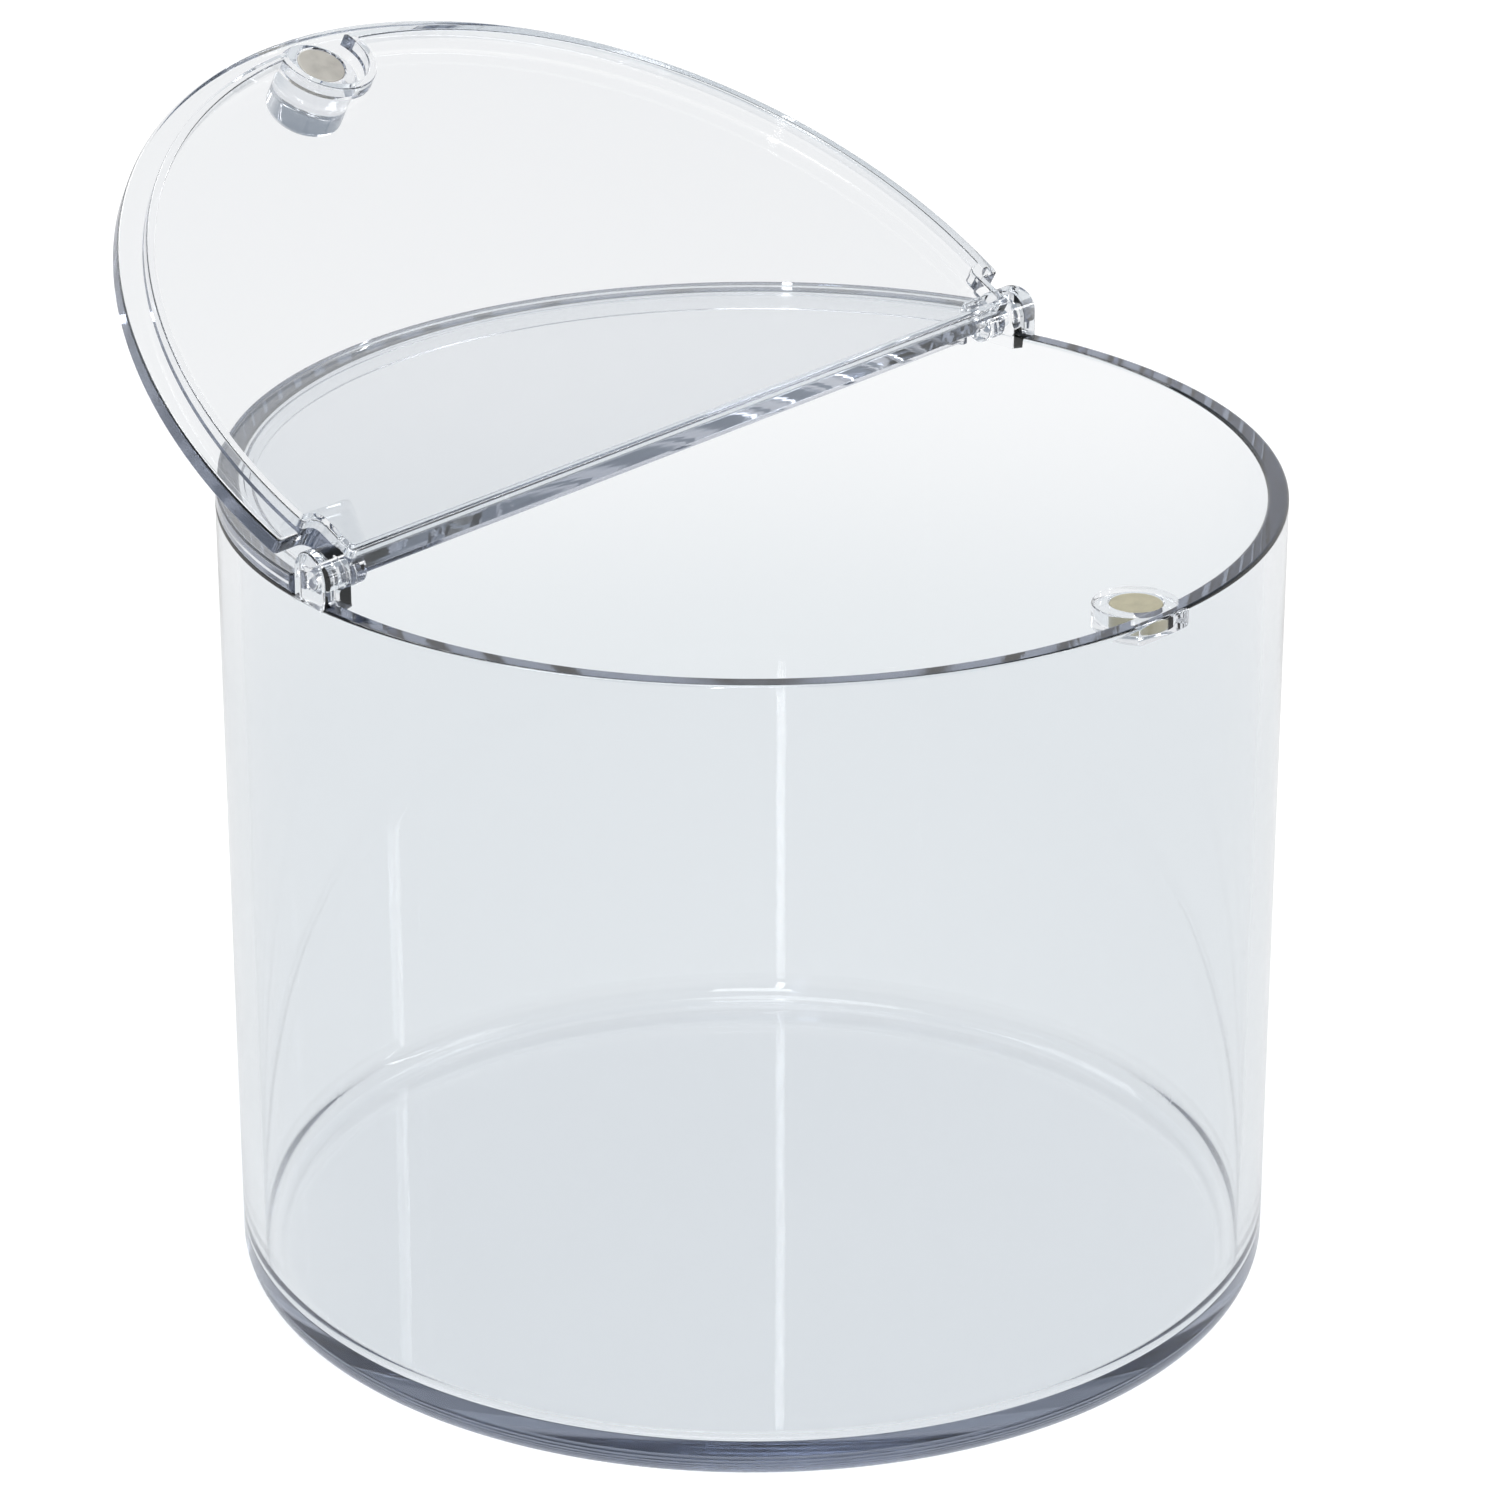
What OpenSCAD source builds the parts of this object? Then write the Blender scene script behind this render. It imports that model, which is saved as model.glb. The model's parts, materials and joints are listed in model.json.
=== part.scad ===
// Round clear bin for sweets, with a fixed rear cover and a flap lid that hinges between two ears
// on the rim. Millimetres, Z up, origin at the middle of the base. The scoop opening faces -Y and
// the hinge runs along X. The flap is drawn at its open stop.

/* [Bin] */
// Outer diameter at the rim
bin_d = 165; // [140:1:220]
// Height of the rim above the table
bin_h = 130; // [60:1:220]
// Thickness of the wall
wall_t = 3.3; // [2.6:0.1:5]
// Thickness of the floor
floor_t = 5; // [3:0.5:10]
// How much the outer radius shrinks from the rim down to the foot
draft = 0.4; // [0:0.1:1.5]
// Radius of the rounded outer edge at the foot
foot_r = 5; // [2:0.5:8]
// Radius of the rounded corner between the floor and the wall
floor_corner_r = 4; // [1:0.5:8]
// Radius of the rounded edges of the rim
rim_edge_r = 0.6; // [0.2:0.1:1]

/* [Cover and flap] */
// Thickness of the rear cover and of the flap
plate_t = 3; // [2:0.1:4]
// Radius of the rounded edges of the rear cover and of the flap
plate_edge_r = 0.5; // [0.2:0.1:0.9]
// How far the locating rib reaches down inside the rim
rib_h = 2.4; // [1.5:0.1:4]
// Thickness of the locating rib
rib_t = 1.4; // [1:0.1:2.5]
// Gap between the locating rib and the wall
rib_gap = 0.6; // [0.4:0.1:1.5]
// Gap between the flap and the rim when the flap is shut
seat_gap = 0.1; // [0.05:0.05:0.5]
// Gap between the flap and the rear cover along the hinge line
hinge_line_gap = 0.8; // [0.5:0.1:2]

/* [Hinge] */
// Distance of the hinge axis behind the middle of the bin
hinge_y = 14.5; // [0:0.5:30]
// Height of the hinge axis above the rim
hinge_rise = 3; // [2.8:0.1:5]
// How far the flap reaches behind the hinge axis
flap_tail = 1.2; // [0.6:0.1:2]
// Angle from shut to the open stop
open_angle = 152; // [120:0.5:160]
// Radius of the round top of each ear
ear_r = 3.8; // [3.2:0.1:5]
// Height of the middle of an ear's round top above the rim
ear_rise = 4; // [3.6:0.1:7]
// How far the ears stand in from the wall, measured at their rear edge
ear_inset = 1.2; // [0.5:0.1:5]
// How far the ear's foot slopes down inside the wall
ear_foot_h = 1.2; // [0.8:0.1:6]
// Radius of the pivot pins
pin_r = 1.5; // [1:0.1:1.8]
// Radial clearance between a pivot pin and its bore
pin_play = 0.05; // [0.02:0.01:0.1]
// Depth of the pivot bore in each ear
bore_depth = 3.2; // [2:0.1:4]
// Free length between the end of a pin and the bottom of its bore
pin_end_gap = 0.3; // [0.2:0.1:1]
// Radius of the flap's knuckle round each pin
knuckle_r = 2.6; // [2.4:0.1:3.2]
// Width of a knuckle along the hinge
knuckle_w = 4; // [3:0.1:8]
// Side gap between a knuckle and its ear
knuckle_side_gap = 0.4; // [0.3:0.1:1]
// Gap round the moving knuckle and the ears
swing_gap = 0.5; // [0.35:0.05:1]
// Gap between the notch in the flap and the tops of the ears that it swings past
notch_gap = 2; // [0.4:0.1:4]
// Radius of the inner corner of the notch
notch_corner_r = 2; // [0.5:0.1:2.5]
// How far behind the hinge axis the stop heel reaches when open
heel_reach = 5; // [4.5:0.1:7]
// Gap left under the stop heel at the open stop
heel_gap = 0.05; // [0.02:0.01:0.2]

/* [Catch] */
// Diameter of the disc magnets
magnet_d = 8; // [6:0.5:10]
// Thickness of the disc magnets
magnet_t = 3; // [2:0.5:4]
// Radial clearance of a magnet in its pocket
magnet_play = 0.05; // [0.02:0.01:0.2]
// How deep a magnet's face lies under the face round it
magnet_sink = 0.1; // [0.05:0.05:0.5]
// Outer diameter of the magnet boss inside the rim
boss_d = 13.2; // [10:0.1:16]
// How far the round boss reaches into the wall
boss_bite = 2.9; // [0.5:0.1:3.2]
// Plastic left under the magnet in its boss
boss_floor = 0.9; // [0.6:0.1:3]
// Diameter of the knob that holds the flap's magnet
knob_d = 12.8; // [10:0.1:16]
// Height of the knob above the flap
knob_h = 9; // [3:0.1:16]
// Radius of the rounded top edge of the knob
knob_edge_r = 1.2; // [0.4:0.1:2]

/* [Hidden] */
$fn = 96;

arc_steps = 6;
overlap = 0.5;
sides = [-1, 1];

rim_r = bin_d / 2;
foot_outer_r = rim_r - draft;
inner_rim_r = rim_r - wall_t;
inner_floor_r = foot_outer_r - wall_t;

hinge_z = bin_h + hinge_rise;
flap_z = bin_h + seat_gap;
cover_top_z = bin_h + plate_t;
flap_top_z = flap_z + plate_t;

ear_top_z = bin_h + ear_rise;
ear_swing_r = ear_rise + ear_r - hinge_rise;
ear_rear_y = hinge_y + ear_r;
ear_in_x = sqrt(inner_rim_r * inner_rim_r - ear_rear_y * ear_rear_y) - ear_inset;
knuckle_out_x = ear_in_x - knuckle_side_gap;
knuckle_in_x = knuckle_out_x - knuckle_w;
pin_end_x = ear_in_x + bore_depth - pin_end_gap;

flap_edge_y = hinge_y + flap_tail;
cover_edge_y = flap_edge_y + hinge_line_gap;
flap_notch_y = hinge_y - ear_swing_r - notch_gap;
cover_knuckle_notch_y = hinge_y + knuckle_r + swing_gap;
cover_ear_notch_y = ear_rear_y + swing_gap;

rib_outer_r = inner_rim_r - rib_gap;
rib_inner_r = rib_outer_r - rib_t;

pocket_r = magnet_d / 2 + magnet_play;
pocket_depth = magnet_t + magnet_sink;
boss_h = pocket_depth + boss_floor;
magnet_y = inner_rim_r - boss_d / 2 + boss_bite;

function arc(centre, r, from, to) =
    [for (i = [0:arc_steps])
        let (a = from + (to - from) * i / arc_steps)
        centre + r * [cos(a), sin(a)]];

// A point behind and above the hinge axis in the open lid, as it lies in the shut lid
function when_shut(p) =
    [p[0] * cos(open_angle) - p[1] * sin(open_angle),
     p[0] * sin(open_angle) + p[1] * cos(open_angle)];

module at_open_stop() {
    translate([0, hinge_y, hinge_z])
        rotate([-open_angle, 0, 0])
            translate([0, -hinge_y, -hinge_z])
                children();
}

// Extrudes an outline drawn in Y and Z along the hinge, between two distances from the middle
module along_hinge(from_x, to_x) {
    translate([from_x, 0, 0])
        rotate([90, 0, 90])
            linear_extrude(to_x - from_x)
                children();
}

module both_ends() {
    for (side = sides)
        mirror([side < 0 ? 1 : 0, 0, 0])
            children();
}

// Wall and floor as one turned shell
module shell() {
    rotate_extrude()
        polygon(concat(
            [[0, 0]],
            arc([foot_outer_r - foot_r, foot_r], foot_r, -90, 0),
            arc([rim_r - rim_edge_r, bin_h - rim_edge_r], rim_edge_r, 0, 90),
            arc([inner_rim_r + rim_edge_r, bin_h - rim_edge_r], rim_edge_r, 90, 180),
            arc([inner_floor_r - floor_corner_r, floor_t + floor_corner_r], floor_corner_r, 0, -90),
            [[0, floor_t]]));
}

// One hinge ear: round top, straight sides and a foot that slopes out to the wall
module ear() {
    intersection() {
        union() {
            along_hinge(ear_in_x, rim_r)
                union() {
                    translate([hinge_y, ear_top_z])
                        circle(ear_r);
                    translate([hinge_y - ear_r, bin_h - rim_edge_r - overlap])
                        square([2 * ear_r, ear_rise + rim_edge_r + overlap]);
                }
            ear_foot();
        }
        cylinder(r = rim_r, h = ear_top_z + ear_r + overlap);
    }
}

module ear_foot() {
    foot_top_z = bin_h - rim_edge_r;
    translate([0, ear_rear_y, 0])
        rotate([90, 0, 0])
            linear_extrude(2 * ear_r)
                polygon([
                    [ear_in_x, foot_top_z],
                    [ear_in_x, foot_top_z - overlap],
                    [inner_rim_r + overlap, foot_top_z - ear_foot_h],
                    [inner_rim_r + overlap, foot_top_z]]);
}

module pivot_bores() {
    both_ends()
        translate([ear_in_x, hinge_y, hinge_z])
            rotate([0, 90, 0])
                translate([0, 0, -overlap])
                    cylinder(r = pin_r + pin_play, h = bore_depth + overlap);
}

module magnet_boss() {
    intersection() {
        translate([0, -magnet_y, bin_h - boss_h])
            cylinder(d = boss_d, h = boss_h);
        cylinder(r = rim_r - rim_edge_r, h = bin_h);
    }
}

module bin() {
    color([0.80, 0.85, 0.90, 0.45])
        difference() {
            union() {
                shell();
                both_ends() ear();
                magnet_boss();
            }
            pivot_bores();
            translate([0, -magnet_y, bin_h - pocket_depth])
                cylinder(r = pocket_r, h = pocket_depth + overlap);
        }
}

// Round plate with eased edges, the blank of the rear cover and of the flap
module plate_blank(z) {
    translate([0, 0, z])
        rotate_extrude()
            polygon(concat(
                [[0, 0]],
                arc([rim_r - plate_edge_r, plate_edge_r], plate_edge_r, -90, 0),
                arc([rim_r - plate_edge_r, plate_t - plate_edge_r], plate_edge_r, 0, 90),
                [[0, plate_t]]));
}

// Everything behind the line y, or in front of it
module behind(y) {
    translate([-bin_d, y])
        square([2 * bin_d, bin_d]);
}

module in_front_of(y) {
    translate([-bin_d, y - 2 * bin_d])
        square([2 * bin_d, 2 * bin_d]);
}

module outside_of(x) {
    for (side = sides)
        translate([side > 0 ? x : -x - bin_d, -bin_d])
            square([bin_d, 2 * bin_d]);
}

module cover_outline() {
    difference() {
        behind(cover_edge_y);
        intersection() {
            outside_of(knuckle_in_x - swing_gap);
            in_front_of(cover_knuckle_notch_y);
        }
        intersection() {
            outside_of(ear_in_x - swing_gap);
            in_front_of(cover_ear_notch_y);
        }
    }
}

// Locating rib of the rear cover, an arc inside the wall behind the ears
module cover_rib_outline() {
    intersection() {
        difference() {
            circle(rib_outer_r);
            circle(rib_inner_r);
        }
        behind(cover_ear_notch_y + rib_t);
    }
}

module rear_cover() {
    color([0.82, 0.87, 0.92, 0.45])
        union() {
            intersection() {
                plate_blank(bin_h);
                translate([0, 0, bin_h - overlap])
                    linear_extrude(plate_t + 2 * overlap)
                        cover_outline();
            }
            translate([0, 0, bin_h - rib_h])
                linear_extrude(rib_h + plate_t / 2)
                    cover_rib_outline();
        }
}

// Half round outline of the flap, notched at both ends so that it swings past the ears
module flap_outline(r, edge_y, end_x, notch_y, corner_r) {
    difference() {
        intersection() {
            circle(r);
            in_front_of(edge_y);
        }
        both_ends()
            polygon(concat(
                arc([end_x + corner_r, notch_y + corner_r], corner_r, 180, 270),
                [[bin_d, notch_y], [bin_d, bin_d], [end_x, bin_d]]));
    }
}

// Rib round the whole flap, which bends inwards round the magnet boss of the bin
module flap_rib_outline() {
    boss_clear_r = boss_d / 2 + rib_gap;
    difference() {
        union() {
            difference() {
                flap_outline(rib_outer_r, flap_edge_y, knuckle_out_x, flap_notch_y, notch_corner_r);
                flap_outline(rib_inner_r, flap_edge_y - rib_t, knuckle_out_x - rib_t, flap_notch_y - rib_t,
                    notch_corner_r + rib_t);
            }
            intersection() {
                circle(rib_outer_r);
                translate([0, -magnet_y])
                    circle(boss_clear_r + rib_t);
            }
        }
        translate([0, -magnet_y])
            circle(boss_clear_r);
    }
}

// Knuckle round a pin, with the heel that lands on the rear cover and stops the open flap
module knuckle() {
    stop_z = cover_top_z + heel_gap - hinge_z;
    plate_middle_z = flap_z + plate_t / 2 - hinge_z;
    heel_tip = when_shut([heel_reach, stop_z]);
    heel_root = when_shut([0, stop_z]);
    along_hinge(knuckle_in_x, knuckle_out_x)
        translate([hinge_y, hinge_z])
            union() {
                circle(knuckle_r);
                translate([-knuckle_r, plate_middle_z])
                    square([knuckle_r + flap_tail, -plate_middle_z]);
                polygon([
                    heel_tip,
                    heel_root,
                    [heel_root[0], plate_middle_z],
                    [heel_tip[0], plate_middle_z]]);
            }
}

module pivot_pin() {
    translate([knuckle_out_x - overlap, hinge_y, hinge_z])
        rotate([0, 90, 0])
            cylinder(r = pin_r, h = pin_end_x - knuckle_out_x + overlap);
}

// Knob over the flap's magnet, for the finger that lifts the flap
module knob() {
    knob_r = knob_d / 2;
    base_z = -plate_t / 2;
    translate([0, -magnet_y, flap_top_z])
        rotate_extrude()
            polygon(concat(
                [[0, base_z], [knob_r, base_z]],
                arc([knob_r - knob_edge_r, knob_h - knob_edge_r], knob_edge_r, 0, 90),
                [[0, knob_h]]));
}

module flap_lid() {
    color([0.84, 0.88, 0.92, 0.45])
        at_open_stop()
            difference() {
                union() {
                    intersection() {
                        plate_blank(flap_z);
                        translate([0, 0, flap_z - overlap])
                            linear_extrude(plate_t + 2 * overlap)
                                flap_outline(rim_r + overlap, flap_edge_y, knuckle_out_x, flap_notch_y,
                                    notch_corner_r);
                    }
                    translate([0, 0, flap_z - rib_h])
                        linear_extrude(rib_h + plate_t / 2)
                            flap_rib_outline();
                    knob();
                    both_ends() knuckle();
                    both_ends() pivot_pin();
                }
                translate([0, -magnet_y, flap_z - overlap])
                    cylinder(r = pocket_r, h = pocket_depth + overlap);
            }
}

module bin_magnet() {
    color([0.72, 0.70, 0.62])
        translate([0, -magnet_y, bin_h - pocket_depth])
            cylinder(d = magnet_d, h = magnet_t);
}

module lid_magnet() {
    color([0.69, 0.67, 0.64])
        at_open_stop()
            translate([0, -magnet_y, flap_z + magnet_sink])
                cylinder(d = magnet_d, h = magnet_t);
}

bin();
rear_cover();
flap_lid();
bin_magnet();
lid_magnet();
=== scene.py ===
"""Clear countertop bin with a rear cover and a flap lid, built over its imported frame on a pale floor."""
import json
import math
from types import SimpleNamespace

import bmesh
import bpy
import numpy as np
from mathutils import Matrix, Vector


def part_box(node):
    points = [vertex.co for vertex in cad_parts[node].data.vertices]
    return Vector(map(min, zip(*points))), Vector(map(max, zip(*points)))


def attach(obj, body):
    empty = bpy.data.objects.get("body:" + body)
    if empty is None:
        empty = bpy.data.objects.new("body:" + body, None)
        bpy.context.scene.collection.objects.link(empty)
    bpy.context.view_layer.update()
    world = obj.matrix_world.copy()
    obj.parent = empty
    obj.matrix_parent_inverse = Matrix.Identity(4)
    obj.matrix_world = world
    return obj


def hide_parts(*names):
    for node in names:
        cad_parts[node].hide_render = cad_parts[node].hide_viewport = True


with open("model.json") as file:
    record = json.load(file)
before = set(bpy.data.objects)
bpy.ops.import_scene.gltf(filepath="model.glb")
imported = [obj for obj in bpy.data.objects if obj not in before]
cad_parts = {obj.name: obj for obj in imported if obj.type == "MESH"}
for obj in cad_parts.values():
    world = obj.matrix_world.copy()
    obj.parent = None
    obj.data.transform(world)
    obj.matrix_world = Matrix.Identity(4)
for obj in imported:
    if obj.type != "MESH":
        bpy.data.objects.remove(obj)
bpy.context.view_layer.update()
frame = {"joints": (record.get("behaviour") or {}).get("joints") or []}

bl_info = {
    "name": "Clear bin with flap lid",
    "version": (1, 0, 0),
    "blender": (4, 5, 0),
    "location": "3D View > Sidebar > Clear bin",
    "description": "Builds the clear bin, its rear cover, its flap lid, the catch magnets and the stage",
    "category": "Object",
}

HINGE = frame["joints"][0]
BIN_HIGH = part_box("bin")[1]

MM = 0.001
SHARP_ANGLE = math.radians(33.0)

# Steps round a whole turn, a rounded edge and a rounded corner

TURNS = 288
ROUND_TURNS = 128
POCKET_TURNS = 96
PIN_TURNS = 64
EDGE_STEPS = 5
CORNER_STEPS = 5

# Small lengths in millimetres. HAIR keeps faces off one another, and BURIED sinks a shell in its host.

HAIR = 0.02
BURIED = 0.5
WELD = 0.0005
FLAT_MARGIN = 6.0
CORNER_ROUND = 0.4
CORNER_SPARE = 0.05
RIB_EDGE = 0.3
RIB_CORNER_EXTRA = 0.2
HEEL_TIP_ROUND = 0.3
BORE_LEAD = 0.2
PIN_CHAMFER = 0.25
KNOB_ROOT = 1.0
MAGNET_FLAT = 0.6

# How much of its colour tarnished plating keeps

TARNISH_SHADE = 0.82

# Floor and middle of the bin in metres, and the lamps: name, place, width, height and power

FLOOR_RINGS = 24
FLOOR_SIDES = 96
FLOOR_RADIUS = 6.0
MIDDLE = (0.0, 0.0, 0.065)
LAMPS = (
    ("strip_left", (-1.3, -0.9, 0.8), 0.06, 1.0, 2.4),
    ("strip_right", (1.2, -1.0, 0.75), 0.05, 1.0, 1.8),
    ("key_left", (-0.9, -0.8, 1.5), 0.5, 0.5, 5.0),
    ("fill_right", (0.9, -0.6, 1.5), 0.5, 0.5, 3.5),
    ("back", (0.4, 1.1, 1.4), 0.6, 0.4, 3.5),
    ("top", (0.0, 0.2, 1.9), 0.7, 0.7, 7.0),
)


def length(label, description, default):
    """A length property in metres."""
    return bpy.props.FloatProperty(
        name=label, description=description, default=default, min=0.0, precision=5, unit="LENGTH")


def tint(label, description, default):
    """A colour property."""
    return bpy.props.FloatVectorProperty(
        name=label, description=description, default=default, min=0.0, max=1.0, size=3, subtype="COLOR")


class ClearBinSizes(bpy.types.PropertyGroup):
    """Lengths of the bin, its two lids, the hinge and the catch."""
    rim_radius: length("Rim radius", "Outer radius of the bin at its rim", round(BIN_HIGH[0], 5))
    rim_height: length("Rim height", "Height of the rim above the table", 0.130)
    wall: length("Wall", "Thickness of the wall", 0.0033)
    floor_plate: length("Floor", "Thickness of the floor", 0.005)
    draft: length("Draft", "How much the outer radius shrinks from the rim to the foot", 0.0004)
    foot_round: length("Foot rounding", "Radius of the outer edge at the foot", 0.005)
    floor_corner: length("Floor corner", "Radius of the corner between floor and wall", 0.004)
    rim_round: length("Rim rounding", "Radius of the edges of the rim", 0.0006)
    plate: length("Plate", "Thickness of the rear cover and of the flap", 0.003)
    plate_round: length("Plate rounding", "Radius of the edges of the plates", 0.0005)
    plate_corner: length("Plate corner", "Radius of the corners of the plates in plan", 0.0008)
    rib_height: length("Rib height", "How far the locating ribs reach down inside the rim", 0.0024)
    rib: length("Rib", "Thickness of the locating ribs", 0.0014)
    rib_gap: length("Rib gap", "Gap between the locating ribs and the wall", 0.0006)
    seat_gap: length("Seat gap", "Gap between the shut flap and the rim", 0.0001)
    hinge_line_gap: length("Hinge line gap", "Gap between the flap and the rear cover", 0.0008)
    hinge_y: length("Hinge offset", "Distance of the hinge behind the bin's middle", HINGE["pos_m"][1])
    hinge_z: length("Hinge height", "Height of the hinge above the table", HINGE["pos_m"][2])
    flap_tail: length("Flap tail", "How far the flap reaches behind the hinge", 0.0012)
    ear_round: length("Ear radius", "Radius of the round top of each ear", 0.0038)
    ear_rise: length("Ear rise", "Height of the middle of an ear's round top above the rim", 0.004)
    ear_inset: length("Ear inset", "How far the ears stand in from the wall", 0.0012)
    ear_foot: length("Ear foot", "How far an ear's foot slopes down the wall", 0.0012)
    ear_edge: length("Ear edge", "Radius of the edges of an ear", 0.0004)
    pin: length("Pin radius", "Radius of the pivot pins", 0.0015)
    pin_play: length("Pin play", "Clearance between a pin and its bore", 0.00005)
    bore_depth: length("Bore depth", "Depth of the pivot bores", 0.0032)
    pin_end_gap: length("Pin end gap", "Gap between a pin's end and its bore", 0.0003)
    knuckle: length("Knuckle radius", "Radius of the knuckle round each pin", 0.0026)
    knuckle_width: length("Knuckle width", "Width of a knuckle along the hinge", 0.004)
    knuckle_gap: length("Knuckle gap", "Side gap between a knuckle and its ear", 0.0004)
    knuckle_edge: length("Knuckle edge", "Radius of the edges of a knuckle", 0.00025)
    swing_gap: length("Swing gap", "Gap round the moving knuckles and the ears", 0.0005)
    notch_gap: length("Notch gap", "Gap between the flap's notch and the ears it swings past", 0.002)
    notch_corner: length("Notch corner", "Radius of the inner corner of the notch", 0.002)
    heel_reach: length("Heel reach", "How far the stop heel reaches behind the hinge when open", 0.005)
    heel_gap: length("Heel gap", "Gap under the stop heel when open", 0.00005)
    magnet: length("Magnet radius", "Radius of the disc magnets", 0.004)
    magnet_height: length("Magnet height", "Thickness of the disc magnets", 0.003)
    magnet_edge: length("Magnet edge", "Radius of the edges of a magnet", 0.0003)
    magnet_play: length("Magnet play", "Clearance of a magnet in its pocket", 0.00005)
    magnet_sink: length("Magnet sink", "How deep a magnet's face lies", 0.0001)
    pocket_mouth: length("Pocket mouth", "Chamfer at the mouth of a magnet pocket", 0.00015)
    boss: length("Boss radius", "Radius of the magnet boss inside the rim", 0.0066)
    boss_bite: length("Boss bite", "How far the boss reaches into the wall", 0.0029)
    boss_floor: length("Boss floor", "Plastic under the magnet in its boss", 0.0009)
    boss_edge: length("Boss edge", "Radius of the lower edge of the boss", 0.0005)
    knob: length("Knob radius", "Radius of the knob on the flap", 0.0064)
    knob_height: length("Knob height", "Height of the knob above the flap", 0.009)
    knob_edge: length("Knob edge", "Radius of the top edge of the knob", 0.0012)
    knob_fillet: length("Knob fillet", "Radius where the knob meets the flap", 0.0002)


class ClearBinFinishes(bpy.types.PropertyGroup):
    """Colours of the plastic and of the magnets."""
    plastic: tint("Plastic", "Colour of the surface of the clear plastic", (0.96, 0.967, 0.973))
    body_tint: tint("Body tint", "Colour that deep plastic takes", (0.21, 0.27, 0.40))
    body_density: bpy.props.FloatProperty(
        name="Body density", description="How soon deep plastic takes its colour, per metre",
        default=11.0, min=0.0)
    bin_magnet: tint("Bin magnet", "Colour of the plating in the bin", (0.49, 0.455, 0.32))
    lid_magnet: tint("Lid magnet", "Colour of the plating in the flap", (0.545, 0.52, 0.47))


class ClearBinStage(bpy.types.PropertyGroup):
    """Floor, light and viewpoint."""
    floor: tint("Floor", "Colour of the floor", (0.80, 0.80, 0.80))
    floor_glow: bpy.props.FloatProperty(
        name="Floor glow", description="White added to the floor where it is seen",
        default=0.27, min=0.0, max=1.0)
    # Painted shade: seen through the plastic, the floor near the bin glows in this greyer colour in place
    # of its shadow.
    painted_shade_backdrop: tint("Backdrop", "Colour of the near floor through the plastic", (0.81, 0.845, 0.865))
    far_backdrop: tint("Far backdrop", "Colour of the far floor through the plastic", (1.0, 1.0, 1.0))
    upper_room: tint("Upper room", "Colour of the room above the horizon band", (0.34, 0.38, 0.43))
    azimuth: bpy.props.FloatProperty(
        name="Azimuth", description="Direction of the viewpoint round the bin",
        default=math.radians(-48.15), unit="ROTATION")
    elevation: bpy.props.FloatProperty(
        name="Elevation", description="Height of the viewpoint above the horizon",
        default=math.radians(24.30), unit="ROTATION")
    distance: length("Distance", "Distance of the viewpoint from the middle of the bin", 0.9652)
    lens: bpy.props.FloatProperty(
        name="Lens", description="Focal length in millimetres on a 36 mm sensor",
        default=146.354, min=1.0)


def layout(context):
    """Every length in millimetres, with the places that follow from them."""
    sizes = context.scene.clear_bin_sizes
    lengths = [p.identifier for p in sizes.bl_rna.properties if p.type == "FLOAT"]
    s = SimpleNamespace(**{key: round(getattr(sizes, key) / MM, 5) for key in lengths})
    s.inner_rim = s.rim_radius - s.wall
    s.foot_outer = s.rim_radius - s.draft
    s.inner_floor = s.foot_outer - s.wall
    s.flap_z = s.rim_height + s.seat_gap
    s.flap_top = s.flap_z + s.plate
    s.cover_top = s.rim_height + s.plate
    s.ear_top = s.rim_height + s.ear_rise
    s.ear_swing = s.ear_top + s.ear_round - s.hinge_z
    s.ear_rear = s.hinge_y + s.ear_round
    s.ear_in = math.sqrt(s.inner_rim ** 2 - s.ear_rear ** 2) - s.ear_inset
    s.knuckle_out = s.ear_in - s.knuckle_gap
    s.knuckle_in = s.knuckle_out - s.knuckle_width
    s.pin_end = s.ear_in + s.bore_depth - s.pin_end_gap
    s.flap_edge = s.hinge_y + s.flap_tail
    s.cover_edge = s.flap_edge + s.hinge_line_gap
    s.flap_notch = s.hinge_y - s.ear_swing - s.notch_gap
    s.rib_outer = s.inner_rim - s.rib_gap
    s.rib_inner = s.rib_outer - s.rib
    s.pocket = s.magnet + s.magnet_play
    s.pocket_depth = s.magnet_height + s.magnet_sink
    s.catch_y = -(s.inner_rim - s.boss + s.boss_bite)
    s.open_angle = math.radians(HINGE["range_deg"][1])
    return s


# Profiles and outlines

def arc(centre, radius, start, end, steps):
    """Points on an arc: centre plus radius times the cosine and sine of even angles in degrees."""
    angle = np.radians(np.linspace(start, end, steps + 1))
    return np.stack([centre[0] + radius * np.cos(angle), centre[1] + radius * np.sin(angle)], axis=1)


def joined(*parts):
    """One run of points from points and runs of points."""
    return np.concatenate([np.atleast_2d(np.asarray(part, float)) for part in parts])


def rim_arc(radius, start, end):
    """Arc about the middle of the bin, with the same spacing as the turned surfaces."""
    steps = max(2, int(round(abs(end - start) / 360.0 * TURNS)))
    return arc((0.0, 0.0), radius, start, end, steps)


def with_radius(points, radius=0.0):
    """Corner points with the radius that each corner is rounded to."""
    points = np.atleast_2d(np.asarray(points, float))
    return np.concatenate([points, np.full((len(points), 1), radius)], axis=1)


def round_ended(run):
    """A run of points with its two ends rounded."""
    return joined(
        with_radius(run[:1], CORNER_ROUND), with_radius(run[1:-1]), with_radius(run[-1:], CORNER_ROUND))


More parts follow.
